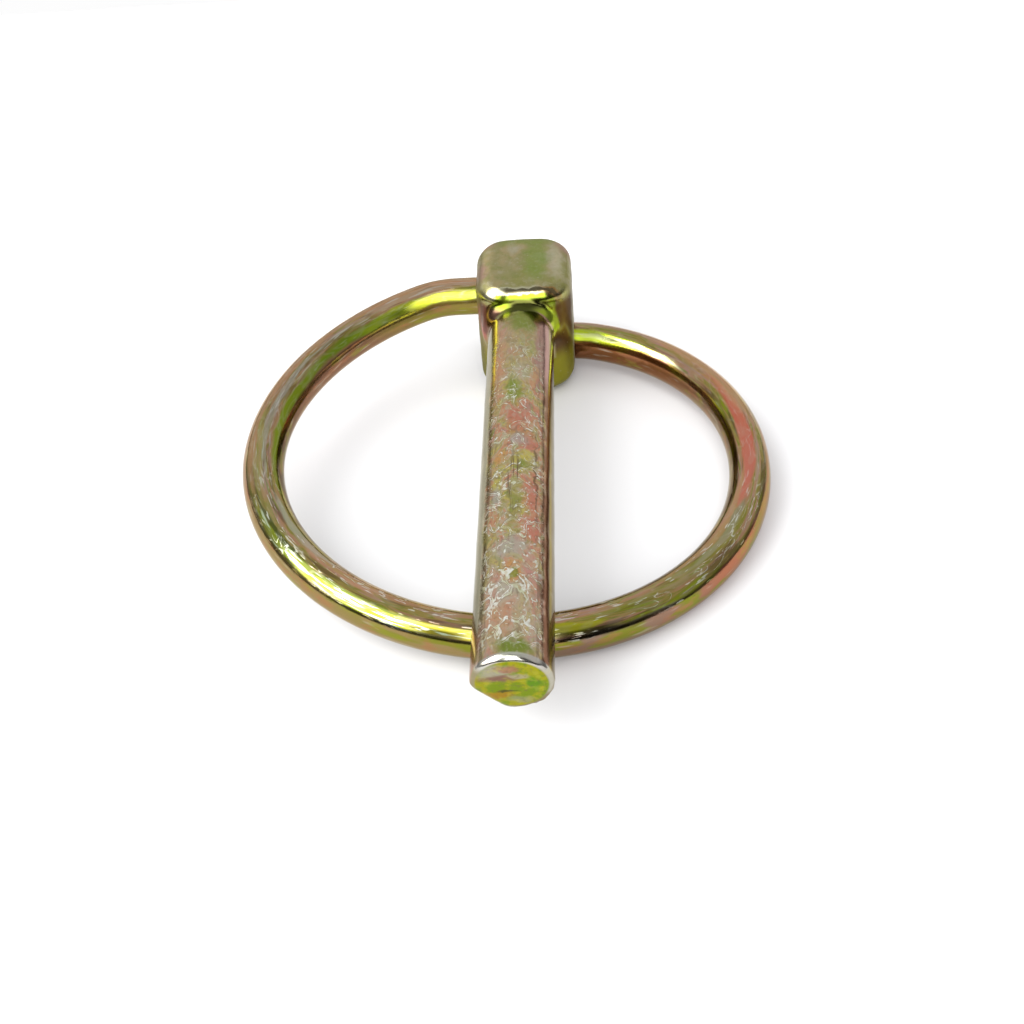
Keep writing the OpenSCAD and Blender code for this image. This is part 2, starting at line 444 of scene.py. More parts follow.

# below its shoulders the shank is duller: grey on the left, and on the right brown with a gold line,
# a red shoulder, and mauve near the head; that brown is painted shade, for the shaded floor it mirrors
left_grey = (0.26, 0.25, 0.17)
# painted shade: the right flank's darker brown stands in for the shaded floor mirrored there
right_painted_shade = (0.21, 0.16, 0.09)
right_gold = (0.32, 0.24, 0.04)
right_red = (0.16, 0.06, 0.03)
right_mauve = (0.34, 0.18, 0.17)
rubbed_pink = (0.40, 0.20, 0.16)
right_shoulder = rise(coat, up_pin, 1.35, 1.55)
right_flank = laid(coat, right_painted_shade, right_gold, window(coat, up_pin, 1.05, 1.35, 0.2))
right_flank = laid(coat, right_flank, right_red, right_shoulder)
near_head = times(coat, rise(coat, along_pin, -13.0, -9.0), right_shoulder)
right_flank = laid(coat, right_flank, right_mauve, near_head)
flank = laid(coat, left_grey, right_flank, rightwards)
flank_bloom = rise(coat, cloud(coat, long_cells, 1.0, 2.0), 0.55, 0.75)
flank = laid(coat, flank, ash, times(coat, flank_bloom, 0.35))
colour = laid(coat, colour, flank, times(coat, rise(coat, ragged_up, 2.25, 1.75), on_shank))
tip_flank = times(coat, spot(coat, ragged, (-2.8, -43.2, 1.0), (0.9, 2.4, 1.4), 0.4), 0.85)
colour = laid(coat, colour, rubbed_pink, tip_flank)

# the head's front is rubbed gold and olive, with a pink spot on the left, and painted shade of dark
# brown on its right that holds back the softbox's reflection there
front_gold = (0.32, 0.26, 0.08)
# painted shade: a dark brown on the right of the front, darkening the softbox's reflection
front_painted_shade = (0.13, 0.07, 0.025)
front_olive = (0.27, 0.25, 0.02)
front_pink = (0.46, 0.13, 0.12)
head_front = times(coat, window(coat, along_pin, -2.0, 2.6, 0.8), rise(coat, up_pin, 3.3, 2.3))
front_shade = laid(coat, front_gold, front_painted_shade, rise(coat, across_pin, -1.0, 1.0))
front_shade = laid(coat, front_shade, front_olive, rise(coat, up_pin, -1.6, -3.6))
front_spot = spot(coat, ragged, (-3.6, 0.8, 0.9), (1.0, 1.8, 1.4))
front_shade = laid(coat, front_shade, front_pink, front_spot)
off_shank = most(coat, rise(coat, off_centre, 2.9, 3.2), rise(coat, up_pin, -2.8, -3.2))
head_front = times(coat, head_front, off_shank)
colour = laid(coat, colour, front_shade, head_front)

# the collar over the shank is green, partly the plating and partly a painted reflection of the bright
# fillet, with painted shade in its hollow; its roots flare out either side, the left one painted dark
# mauve, partly as shade over a reflection, and the right one painted lime as a reflection
# painted light: the collar's deep green partly stands in for the fillet mirrored in it, its hollow's dark
# is painted shade, the left root's dark mauve is partly painted shade over a reflection, and the right
# root's lime is a painted reflection
collar_film_and_reflection = (0.20, 0.27, 0.006)
collar_painted_shade = (0.055, 0.06, 0.006)
left_root_painted_shade = (0.15, 0.06, 0.05)
right_root_painted_reflection = (0.36, 0.46, 0.02)
wavy = times(coat, math_of(coat, "SUBTRACT", smear, 0.5), 0.9)
wavy = plus(coat, along_pin, wavy)
collar = times(coat, window(coat, wavy, -1.05, 0.38, 0.2), rise(coat, up_pin, 2.2, 3.0))
collar = times(coat, collar, window(coat, across_pin, -2.9, 3.8, 0.9))
hollow_painted_shade = times(coat, rise(coat, across_pin, -1.5, -0.5), rise(coat, along_pin, 0.22, 0.02))
collar_shade = laid(coat, collar_film_and_reflection, collar_painted_shade, hollow_painted_shade)
colour = laid(coat, colour, collar_shade, times(coat, collar, 0.95))
flare = times(coat, window(coat, along_pin, -0.95, 0.35, 0.3), rise(coat, around_axis, 3.02, 3.12))
left_root = times(coat, window(coat, along_pin, -1.30, 1.5, 0.4), rise(coat, across_pin, -1.9, -2.4))
left_root = times(coat, left_root, window(coat, up_pin, 0.5, 3.2, 0.4))
flare = times(coat, most(coat, flare, left_root), window(coat, up_pin, 0.2, 2.7, 0.6))
flare_shade = laid(coat, left_root_painted_shade, right_root_painted_reflection, rightwards)
colour = laid(coat, colour, flare_shade, times(coat, flare, 0.90))

# the brow above the collar is rubbed pale, under painted shade that thins the softbox's reflection on
# it: browner to the right, and a dark line above the pale
brow_pale = (0.56, 0.54, 0.38)
# painted shade: the brow's brown to the right and the dark line along its top darken the softbox's
# reflection
brow_right_painted_shade = (0.34, 0.17, 0.04)
brow_painted_shade = (0.11, 0.09, 0.045)
on_brow = rise(coat, up_pin, 2.9, 3.6)
brow = times(coat, window(coat, wavy, 0.38, 1.0, 0.2), on_brow)
brow_shade = laid(coat, brow_pale, brow_right_painted_shade, rise(coat, across_pin, 1.0, 3.0))
colour = laid(coat, colour, brow_shade, times(coat, brow, 0.8))
brow_shade_line = times(coat, window(coat, wavy, 0.52, 0.85, 0.1), on_brow)
brow_shade_line = times(coat, brow_shade_line, window(coat, across_pin, -1.4, 4.0, 0.8))
colour = laid(coat, colour, brow_painted_shade, times(coat, brow_shade_line, 0.85))

# the head's sides are dull, grey on the right, and on the left a painted shade of dark olive, carried
# over its top edge, that darkens the bright softbox mirrored there; the head is nicked pale all over
# painted shade: the left side and its top edge are dark olive to hold back the softbox's reflection
left_side_painted_shade = (0.12, 0.12, 0.04)
side_grey = (0.34, 0.31, 0.26)
left_edge_painted_shade = (0.12, 0.11, 0.05)
head_side = times(coat, rise(coat, along_pin, 1.8, 3.0), rise(coat, up_pin, 3.8, 2.8))
side_shade = laid(coat, left_side_painted_shade, side_grey, rightwards)
colour = laid(coat, colour, side_shade, times(coat, head_side, 0.8))
left_edge_shaded = times(coat, rise(coat, across_pin, -3.2, -3.7), rise(coat, along_pin, 0.6, 1.8))
colour = laid(coat, colour, left_edge_painted_shade, times(coat, left_edge_shaded, 0.60))
nicks = times(coat, rise(coat, cloud(coat, place, 0.34, 1.0), 0.70, 0.78), on_head)
colour = laid(coat, colour, ash, times(coat, nicks, 0.4))

# the cropped tip is bright yellow-green with pink, gold and dark smears
crop_green = (0.16, 0.23, 0.004)
crop_yellow = (0.30, 0.29, 0.006)
crop_fleck = (0.46, 0.46, 0.05)
crop = laid(coat, crop_green, crop_yellow, rise(coat, cloud(coat, place, 1.1, 3.0, 0.6), 0.42, 0.58))
crop_patches = (
    ((0.34, 0.31, 0.24), (-1.2, -44.8, 1.5), (1.1, 9.0, 0.7), 0.85),
    ((0.34, 0.14, 0.08), (-0.2, -44.8, 1.7), (0.7, 9.0, 0.4), 0.80),
    ((0.20, 0.10, 0.075), (-0.8, -44.8, 0.7), (1.3, 9.0, 0.36), 0.95),
    ((0.36, 0.32, 0.22), (0.5, -44.8, 0.9), (0.9, 9.0, 0.22), 0.70),
    ((0.32, 0.17, 0.01), (-0.9, -44.6, -1.25), (0.9, 9.0, 0.45), 0.90),
    ((0.09, 0.22, 0.004), (1.6, -44.6, 0.1), (0.45, 9.0, 0.8), 0.95),
    ((0.05, 0.05, 0.01), (-0.5, -44.6, -0.8), (0.75, 9.0, 0.12), 0.85),
    ((0.28, 0.27, 0.16), (0.6, -44.6, -1.8), (0.9, 9.0, 0.35), 0.60),
)
crop = patched(coat, crop, ragged, crop_patches, 0.5)
crop = laid(coat, crop, brown, times(coat, rise(coat, speck, 0.52, 0.68), 0.34))
crop = laid(coat, crop, crop_fleck, times(coat, rise(coat, tint, 0.46, 0.34), 0.25))
cropped = times(coat, rise(coat, around_axis, 2.72, 2.50), rise(coat, along_pin, -43.8, -44.2))
colour = laid(coat, colour, crop, cropped)

# its chamfer is worn to bare metal, brightest at the top
rim_olive = (0.26, 0.25, 0.13)
rim_grey = (0.46, 0.45, 0.38)
rim_silver = (0.60, 0.60, 0.56)
tip_rim = times(coat, rise(coat, along_pin, -44.3, -44.5), rise(coat, around_axis, 2.5, 2.7))
rim_shade = laid(coat, rim_olive, rim_grey, rise(coat, across_pin, -0.5, 2.0))
rim_shade = laid(coat, rim_shade, rim_silver, rise(coat, up_pin, 1.2, 2.0))
colour = laid(coat, colour, rim_shade, times(coat, tip_rim, 0.75))

# veins, mottles, and the head's rubbed front, sides and back are rougher than bare plating
coat.links.new(colour, metal.inputs["Base Color"])
metal.inputs["Metallic"].default_value = 1.0
metal.inputs["Specular Tint"].default_value = (0.80, 0.76, 0.66, 1.0)
metal.inputs["Coat Weight"].default_value = 0.15
metal.inputs["Coat Roughness"].default_value = 0.12
shoulder = times(coat, rise(coat, across_pin, -1.6, -2.2), on_shank)
shoulder = times(coat, shoulder, window(coat, up_pin, 0.9, 2.3, 0.4))
off_middle = math_of(coat, "ABSOLUTE", math_of(coat, "SUBTRACT", across_pin, 0.35))
head_edges = times(coat, rise(coat, off_middle, 2.4, 3.4), rise(coat, along_pin, 0.9, 2.4))
head_top = rise(coat, along_pin, 0.9, 2.0)
rough = 0.10
for rougher, share in ((veins, 0.25), (tint, 0.12), (head_top, 0.20), (head_front, 0.25),
                       (shoulder, 0.04), (head_edges, 0.25)):
    rough = plus(coat, rough, times(coat, rougher, share))
coat.links.new(rough, metal.inputs["Roughness"])

# the veins stand up a little, and the relief is fainter on the shank's flanks
grain = plus(coat, times(coat, veins, 0.8), tint)
relief = plus(coat, 0.07, times(coat, rise(coat, up_pin, 1.9, 2.5), 0.23))
grain_height = 0.03 * mm
bump = add(coat, "ShaderNodeBump", {"Height": grain, "Strength": relief, "Distance": grain_height})
coat.links.new(bump.outputs["Normal"], metal.inputs["Normal"])
pin.data.materials.clear()
pin.data.materials.append(plated)
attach(pin, "pin")
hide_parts("pin")

# ---------------------------------------------------------------- ring
# The ring is one length of round spring-steel wire, cut square, chamfered at both ends
# and coiled round a former, then bent in more tightly at the ends so that they meet the
# head from both sides, one above the other.
wire_r = 1.745 * mm
wire_sides = 64
wire_cuts = 620
ring_r = 20.75 * mm
bend_r = 8.0 * mm
bend_a = math.radians(23)
hole_gap = 5.7 * mm
end_l = 5.2 * mm
end_chamfer = 0.3 * mm
ring_shift = 1.2 * mm
pivot = Vector(frame["joints"][0]["pos_m"])
press_gap = 0.02 * mm


def ring_turn(roll):
    """The angle that each tight bend turns through, for a roll of the ring's halves."""
    return math.acos(math.cos(bend_a) * math.cos(roll))


def ring_lever(turn):
    """How far from the ring's middle the roll acts on the wire's ends."""
    return ring_r * (2 - math.sin(bend_a)) + bend_r * math.tan(turn / 2) * math.cos(bend_a)


# the two halves roll apart until the ends are as far apart as the holes
roll = math.asin(hole_gap / 2 / ring_lever(bend_a))
roll = math.asin(hole_gap / 2 / ring_lever(ring_turn(roll)))
roll = math.asin(hole_gap / 2 / ring_lever(ring_turn(roll)))
turn = ring_turn(roll)
front_l = ring_r * math.pi / 2
back_l = ring_r * (math.pi / 2 - bend_a)
bend_l = bend_r * turn
half_l = front_l + back_l + bend_l + end_l

# where the right half's back arc ends, and how its tight bend runs on into the head
across = Vector((-1, 0, 0))
front_up = Vector((math.sin(roll), 0, math.cos(roll)))
back_up = Vector((-math.sin(roll), 0, math.cos(roll)))
back_mid = Vector((0, 0, -2 * ring_r * math.sin(roll)))
back_end = Vector((
    ring_r * math.sin(bend_a) * math.cos(roll),
    ring_r * math.cos(bend_a),
    -ring_r * (2 - math.sin(bend_a)) * math.sin(roll),
))
back_dir = Vector((
    -math.cos(bend_a) * math.cos(roll),
    math.sin(bend_a),
    -math.cos(bend_a) * math.sin(roll),
))
bend_in = (across - back_dir * math.cos(turn)) / math.sin(turn)
bend_end = back_end + bend_r * math.tan(turn / 2) * (back_dir + across)
coils = [
    (front_l, ring_r, Vector((0, 0, 0)), front_up),
    (back_l, ring_r, back_mid, back_up),
    (bend_l, bend_r, back_end + bend_r * bend_in, (-bend_in).cross(back_dir)),
]

# the ring leans about the holes until its front presses up against the shank
front_z = -(shank_r + wire_r + press_gap) / math.cos(roll) + ring_shift * math.tan(roll)
lean = math.asin((pivot.z - front_z) / (ring_r + bend_end.y))
to_head = (
    Matrix.Translation(pivot - Vector((ring_shift, 0, 0)))
    @ Matrix.Rotation(lean, 4, "X")
    @ Matrix.Translation((0, -bend_end.y, 0))
)
half_turn = Matrix.Rotation(math.pi, 4, "Y")


def coil(co):
    """Where a point of the straight wire, which lies along X, goes as the wire is coiled."""
    left = co.x < 0
    along = abs(co.x)
    up = -co.z if left else co.z
    loose = max(0, along - front_l - back_l - bend_l)
    p = Vector((loose * math.cos(roll), -ring_r, -loose * math.sin(roll)))
    p += Vector((0, -1, 0)) * co.y + front_up * up
    for length, radius, centre, axis in coils:
        angle = min(along, length) / radius
        p = centre + Matrix.Rotation(angle, 3, axis) @ (p - centre)
        along -= length
        if along <= 0:
            break
    if left:
        p = half_turn @ p
    return to_head @ p


# each point of the wire keeps its place on the straight length, for the plating to follow
shape = bmesh.new()
wire_place = shape.verts.layers.float_vector.new("wire_place")
bmesh.ops.create_cone(shape, cap_ends=True, segments=wire_sides,
                      radius1=wire_r, radius2=wire_r, depth=2 * half_l,
                      matrix=Matrix.Rotation(math.pi / 2, 4, "Y"))
rims = [e for e in shape.edges if abs(e.verts[0].co.x - e.verts[1].co.x) < half_l]
bmesh.ops.bevel(shape, geom=rims, offset=end_chamfer, segments=2, profile=0.5,
                affect="EDGES", material=-1)
long_edges = [e for e in shape.edges if abs(e.verts[0].co.x - e.verts[1].co.x) > half_l]
bmesh.ops.subdivide_edges(shape, edges=long_edges, cuts=wire_cuts, use_grid_fill=True)
for v in shape.verts:
    v[wire_place] = v.co
    v.co = coil(v.co)
for face in shape.faces:
    face.smooth = True
ring = built("ring_wire", shape)
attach(ring, "ring")
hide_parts("ring")

straw = (0.36, 0.26, 0.08)
sage = (0.23, 0.22, 0.03)
leaf = (0.25, 0.28, 0.01)
umber = (0.12, 0.07, 0.03)
copper = (0.42, 0.24, 0.13)
lime = (0.40, 0.48, 0.03)

# patterns on the wire read its straight places, in millimetres: along it from the middle of
# its front, outwards from the ring's middle, and up
passivated = bpy.data.materials.new("ring_plating")
passivated.use_nodes = True
coat = passivated.node_tree
metal = coat.nodes["Principled BSDF"]
place = add(coat, "ShaderNodeMapping", {
    "Vector": add(coat, "ShaderNodeAttribute", attribute_name="wire_place").outputs["Vector"],
    "Scale": (1 / mm, 1 / mm, 1 / mm),
}).outputs["Vector"]
draw = (3.5, 1.0, 1.0)
long_cells = stretched(coat, place, draw)
ragged = shaken(coat, long_cells, 0.9, (1.6, 0.8, 0.8))
ragged = of_places(coat, "MULTIPLY", ragged, draw).outputs[0]
along_wire, outward, up_wire = add(coat, "ShaderNodeSeparateXYZ", {0: ragged}).outputs[:3]

# the film's bands are drawn out along the wire, with brown and pale streaks over them
film = cloud(coat, stretched(coat, place, (6.5, 0.65, 0.65)), 1.1, 2.5, 0.6, 0.5)
wire_colours = (
    (0.32, leaf), (0.37, sage), (0.44, straw), (0.475, sage), (0.50, straw),
    (0.535, copper), (0.58, copper), (0.61, mauve), (0.65, sage), (0.72, leaf),
)
colour = banded(coat, film, wire_colours)
pale_streak = (0.40, 0.37, 0.26)
left_brown = (0.21, 0.14, 0.04)
tint = cloud(coat, stretched(coat, place, (6.0, 0.5, 0.5)), 0.9, 2.0, 0.55)
colour = laid(coat, colour, umber, times(coat, rise(coat, tint, 0.54, 0.65), 0.68))
colour = laid(coat, colour, pale_streak, times(coat, rise(coat, tint, 0.43, 0.33), 0.25))
colour = laid(coat, colour, left_brown, times(coat, rise(coat, along_wire, -20.0, -35.0), 0.42))

# patches where the film is thicker or thinner than around them, and among them painted highlights and
# painted shade lines where the wire mirrors the softbox or the dark room
ring_patches_and_painted_light = (
    (salmon, (-58.0, 0.2, 1.7), (9.0, 0.9, 0.7), 0.60),
    ((0.19, 0.26, 0.005), (-42.0, -1.15, 1.25), (17.0, 0.42, 0.55), 0.95),
    # painted highlight: a bright lime streak that lengthens the reflection near the left end
    ((0.55, 0.62, 0.03), (-54.0, -1.2, 1.2), (5.0, 0.6, 0.7), 0.85),
    (leaf, (-63.0, -1.1, 1.3), (6.0, 0.8, 0.7), 0.80),
    ((0.50, 0.27, 0.14), (-46.0, 0.7, 1.5), (12.0, 0.45, 0.7), 0.70),
    (moss, (-30.0, 0.6, 1.6), (7.0, 0.6, 0.7), 0.55),
    ((0.36, 0.33, 0.26), (-54.0, -0.2, 1.75), (12.0, 0.25, 0.5), 0.35),
    ((0.36, 0.35, 0.30), (-36.0, -0.1, 1.75), (10.0, 0.25, 0.5), 0.55),
    # painted shade: dark lines along the wire's outer top, and one under the front highlight, where it
    # mirrors the dark room
    ((0.06, 0.05, 0.01), (-42.0, 1.25, 1.2), (9.0, 0.25, 0.3), 0.85),
    ((0.14, 0.12, 0.02), (-20.0, 1.40, 0.95), (9.0, 0.20, 0.3), 0.85),
    ((0.10, 0.05, 0.02), (38.0, 1.25, 1.2), (12.0, 0.25, 0.3), 0.85),
    (salmon, (-12.0, -0.5, 1.6), (7.0, 0.5, 0.5), 0.60),
    # a painted highlight on the front right, then a painted shade line beside it
    ((0.45, 0.45, 0.012), (4.2, 0.80, 1.5), (2.8, 0.4, 0.5), 0.85),
    ((0.04, 0.02, 0.008), (13.0, 1.50, 0.90), (13.0, 0.28, 0.36), 0.90),
    (sage, (17.0, 0.2, 1.7), (9.0, 0.5, 0.6), 0.60),
    ((0.38, 0.36, 0.26), (21.0, -0.1, 1.7), (6.0, 0.3, 0.6), 0.50),
    ((0.62, 0.16, 0.10), (34.0, -0.3, 1.7), (8.0, 0.55, 0.6), 0.92),
    (rose, (30.0, -0.3, 1.7), (5.0, 0.4, 0.6), 0.60),
    (salmon, (44.0, 0.4, 1.6), (8.0, 0.8, 0.7), 0.65),
    (mauve, (58.0, 0.7, 1.5), (8.0, 0.8, 0.8), 0.75),
    # painted highlights near both ends, lime with a white middle on the right
    ((0.75, 0.95, 0.05), (57.5, -1.2, 1.2), (7.0, 0.6, 0.7), 0.95),
    ((0.92, 1.00, 0.50), (52.0, -1.15, 1.25), (6.5, 0.22, 0.28), 0.80),
    ((0.90, 1.00, 0.08), (-59.0, -1.20, 1.20), (4.5, 0.40, 0.45), 0.95),
    ((0.13, 0.22, 0.004), (-49.0, -1.15, 1.25), (6.0, 0.50, 0.55), 0.60),
    (lime, (-14.0, 1.3, 1.2), (6.0, 0.6, 0.6), 0.60),
    # painted shade on the inside of the front, next to the shank
    ((0.03, 0.015, 0.008), (9.0, -1.25, 1.2), (11.0, 0.35, 0.4), 0.90),
    ((0.27, 0.34, 0.015), (-19.0, 1.15, 1.30), (20.0, 0.55, 0.6), 0.92),
    # painted shade that narrows the front highlight from inside
    ((0.07, 0.08, 0.015), (-17.0, 0.80, 1.55), (13.0, 0.18, 0.25), 0.85),
    ((0.30, 0.25, 0.02), (-4.0, 1.15, 1.30), (4.0, 0.5, 0.5), 0.80),
    ((0.46, 0.25, 0.14), (-36.0, 1.00, 1.40), (11.0, 0.45, 0.6), 0.85),
    ((0.45, 0.48, 0.38), (-20.0, -0.6, 1.6), (6.0, 0.3, 0.5), 0.55),
    ((0.54, 0.31, 0.16), (22.0, -0.75, 1.6), (8.0, 0.35, 0.5), 0.70),
    # painted shade: a dark line under the right end's highlight
    ((0.05, 0.03, 0.01), (60.0, -1.55, 0.7), (5.0, 0.35, 0.35), 0.90),
)
colour = patched(coat, colour, ragged, ring_patches_and_painted_light, 0.3)

# painted glints, silver and dark, break up the highlight on the left of the wire's front where it
# shines, and duller brush strokes lie along the left of the ring
# painted highlight and painted shade: silver and dark glints laid only where the front highlight falls
painted_glint_silver = (0.70, 0.85, 0.62)
painted_glint_dark = (0.06, 0.06, 0.01)
grey_stroke = (0.56, 0.58, 0.52)
brown_stroke = (0.13, 0.08, 0.03)
glint_and_stroke_noise = cloud(coat, stretched(coat, place, (5.0, 0.35, 0.35)), 0.7, 2.0, 0.6)
shining = window(coat, along_wire, -27.0, -2.0, 8.0)
shining = times(coat, shining, window(coat, outward, 0.9, 1.55, 0.3))
brushed = window(coat, along_wire, -62.0, -26.0, 8.0)
brushed = times(coat, brushed, window(coat, outward, -0.7, 1.0, 0.6))
for stroke, start, end, where, share in (
    (painted_glint_silver, 0.55, 0.64, shining, 0.85), (painted_glint_dark, 0.42, 0.34, shining, 0.75),
    (grey_stroke, 0.58, 0.66, brushed, 0.45), (brown_stroke, 0.40, 0.32, brushed, 0.55),
):
    stroke_share = times(coat, rise(coat, glint_and_stroke_noise, start, end), times(coat, where, share))
    colour = laid(coat, colour, stroke, stroke_share)

# pale streaks lie along the wire's top, and most of all along its front
gate = cloud(coat, long_cells, 1.5, 1.0)
curl = cloud(coat, stretched(coat, place, (3.2, 0.9, 0.9)), 1.2, 1.0, 0.5, 1.2)
thick = times(coat, rise(coat, cloud(coat, long_cells, 0.7, 1.0), 0.40, 0.66), 0.024)
thick = plus(coat, 0.010, thick)
broken = cloud(coat, stretched(coat, place, (2.0, 0.7, 0.7)), 0.5, 1.0)
broken = rise(coat, broken, 0.42, 0.54)
curls = times(coat, times(coat, thread(coat, curl, 0.5, thick), broken), rise(coat, gate, 0.49, 0.57))
rings = times(coat, thread(coat, film, 0.53, times(coat, thick, 0.6)), broken)
rings = times(coat, rings, rise(coat, gate, 0.50, 0.57))
fleck_cells = stretched(coat, place, (4.0, 0.5, 0.5))
flecks = rise(coat, cloud(coat, fleck_cells, 0.4, 1.0), 0.64, 0.72)
veins = most(coat, most(coat, curls, rings), flecks)
veins = times(coat, veins, rise(coat, up_wire, 0.4, 1.0))
worn_front = window(coat, along_wire, -26.0, 27.0, 10.0)
veins = times(coat, veins, plus(coat, times(coat, worn_front, 0.65), 0.2))
colour = laid(coat, colour, ash, times(coat, thread(coat, curl, 0.5, 0.08), 0.12))
colour = laid(coat, colour, salt, times(coat, veins, 0.60))

# the wire's underside is browner and changes along its length: what faces out of the ring
outer = (0.30, 0.17, 0.11)
for shade, start, end in (
    ((0.28, 0.20, 0.07), -32.0, -20.0), ((0.24, 0.15, 0.10), -6.0, 6.0),
    ((0.34, 0.12, 0.06), 10.0, 20.0), ((0.27, 0.10, 0.03), 24.0, 34.0),
):
    outer = laid(coat, outer, shade, rise(coat, along_wire, start, end))
fresh_olive = (0.19, 0.20, 0.015)
fresh = times(coat, window(coat, along_wire, -9.0, 26.0, 12.0), rise(coat, up_wire, -0.5, 0.1))
fresh = times(coat, fresh, rise(coat, cloud(coat, long_cells, 1.2, 2.0), 0.40, 0.52))
outer = laid(coat, outer, fresh_olive, fresh)

# then what faces into it, painted very dark from the front on as shade, for the shaded floor it mirrors
# inside the ring
inner_olive = (0.25, 0.19, 0.04)
inner_pink = (0.24, 0.12, 0.07)
inner_brown = (0.09, 0.05, 0.025)
inner = laid(coat, inner_pink, inner_brown, rise(coat, along_wire, -42.0, -30.0))
inner = laid(coat, inner_olive, inner, rise(coat, along_wire, -56.0, -48.0))
# painted shade: the inside turns very dark from the front on, where it mirrors the floor in the ring's
# shadow
for shade, start, end in (
    ((0.05, 0.025, 0.015), -10.0, 0.0), ((0.20, 0.13, 0.08), 20.0, 30.0),
    ((0.21, 0.08, 0.025), 38.0, 48.0),
):
    inner = laid(coat, inner, shade, rise(coat, along_wire, start, end))

# and both are spotted with green, salmon and a pale bloom
under_salmon = (0.36, 0.15, 0.07)
under = laid(coat, inner, outer, rise(coat, outward, -0.4, 0.4))
leaf_spots = rise(coat, cloud(coat, long_cells, 1.0, 3.0, 0.6), 0.54, 0.66)
under = laid(coat, under, leaf, times(coat, leaf_spots, 0.45))
salmon_spots = rise(coat, cloud(coat, long_cells, 0.8, 3.0, 0.6), 0.48, 0.36)
under = laid(coat, under, under_salmon, times(coat, salmon_spots, 0.5))
under_bloom = rise(coat, cloud(coat, fleck_cells, 0.8, 2.0), 0.60, 0.72)
under = laid(coat, under, ash, times(coat, under_bloom, 0.35))
flanks = window(coat, math_of(coat, "ABSOLUTE", along_wire), 14.0, 50.0, 10.0)
lowered = math_of(coat, "SUBTRACT", up_wire, times(coat, flanks, 0.30))
colour = laid(coat, colour, under, rise(coat, lowered, 1.05, 0.65))

# the wire shines most of all where nothing has crept over it or rubbed it
coat.links.new(colour, metal.inputs["Base Color"])
metal.inputs["Metallic"].default_value = 1.0
metal.inputs["Specular Tint"].default_value = (0.80, 0.74, 0.62, 1.0)
metal.inputs["Coat Weight"].default_value = 0.20
metal.inputs["Coat Roughness"].default_value = 0.06
rubbed = most(coat, spot(coat, place, (58.5, -1.2, 1.2), (3.0, 0.8, 0.8)),
              spot(coat, place, (-59.0, -1.2, 1.2), (4.0, 0.7, 0.7)))
rough = 0.09
for rougher, share in ((veins, 0.25), (tint, 0.10), (rubbed, 0.30)):
    rough = plus(coat, rough, times(coat, rougher, share))
coat.links.new(rough, metal.inputs["Roughness"])
grain = plus(coat, times(coat, veins, 0.6), tint)
bump = add(coat, "ShaderNodeBump", {"Height": grain, "Strength": 0.35, "Distance": grain_height})
coat.links.new(bump.outputs["Normal"], metal.inputs["Normal"])
ring.data.materials.append(passivated)

# ---------------------------------------------------------------- studio
# A white table top, cut to a rectangle, under one broad softbox on the left that runs round past
# the camera. What stands beyond the table is dim, and darkest along the table's edge.
floor_z = min(v.co.z for o in (pin, ring) for v in o.data.vertices)
table_size = (190 * mm, 232 * mm)
table_y = -8 * mm
shape = bmesh.new()
bmesh.ops.create_grid(shape, x_segments=1, y_segments=1, size=0.5,
                      matrix=Matrix.Translation((0, table_y, floor_z))
                      @ Matrix.Diagonal((*table_size, 1, 1)))
table = built("table", shape)
table_white = bpy.data.materials.new("table_white")
table_white.use_nodes = True
paper = table_white.node_tree.nodes["Principled BSDF"]
paper.inputs["Base Color"].default_value = (0.80, 0.80, 0.81, 1)
paper.inputs["Roughness"].default_value = 0.9
paper.inputs["Specular IOR Level"].default_value = 0.1
table.data.materials.append(table_white)

room = bpy.data.worlds.new("room")
room.use_nodes = True
bpy.context.scene.world = room
light = room.node_tree
light.nodes.clear()


def share_of(angle, span):
    """Where an angle lies in a span, in degrees, that is centred on zero."""
    return add(light, "ShaderNodeMath", {0: angle, 1: 1 / span, 2: 0.5},
               operation="MULTIPLY_ADD").outputs[0]


def arc(share, span, low, high, soft):
    """1 between two angles, 0 outside them, with soft edges, over a share of the whole span."""
    made = add(light, "ShaderNodeValToRGB", {"Fac": share})
    stops = made.color_ramp.elements
    stops.remove(stops[1])
    made.color_ramp.interpolation = "EASE"
    levels = [(low - soft / 2, 0.0), (low + soft / 2, 1.0), (high - soft / 2, 1.0), (high + soft / 2, 0.0)]
    levels = [(angle / span + 0.5, level) for angle, level in levels if angle / span + 0.5 > 0]
    stops[0].position, stops[0].color = levels[0][0], (levels[0][1],) * 4
    for position, level in levels[1:]:
        stops.new(position).color = (level,) * 4
    return made.outputs["Alpha"]


# the room is measured by bearing, in degrees from the front, and by height above the floor
seen = add(light, "ShaderNodeTexCoord").outputs["Generated"]
seen_x, seen_y, seen_z = add(light, "ShaderNodeSeparateXYZ", {0: seen}).outputs[:3]
bearing = math_of(light, "ARCTAN2", seen_x, times(light, seen_y, -1.0))
bearing = times(light, bearing, 180 / math.pi)
height = times(light, math_of(light, "ARCSINE", seen_z), 180 / math.pi)
off_front = math_of(light, "ABSOLUTE", bearing)
round_span, up_span = 360, 180
bearing_share = share_of(bearing, round_span)
height_share = share_of(height, up_span)


def panel(bearings, heights, soft_turn, soft_up):
    """1 within one soft panel between two bearings and two heights."""
    return times(light, arc(bearing_share, round_span, *bearings, soft_turn),
                 arc(height_share, up_span, *heights, soft_up))


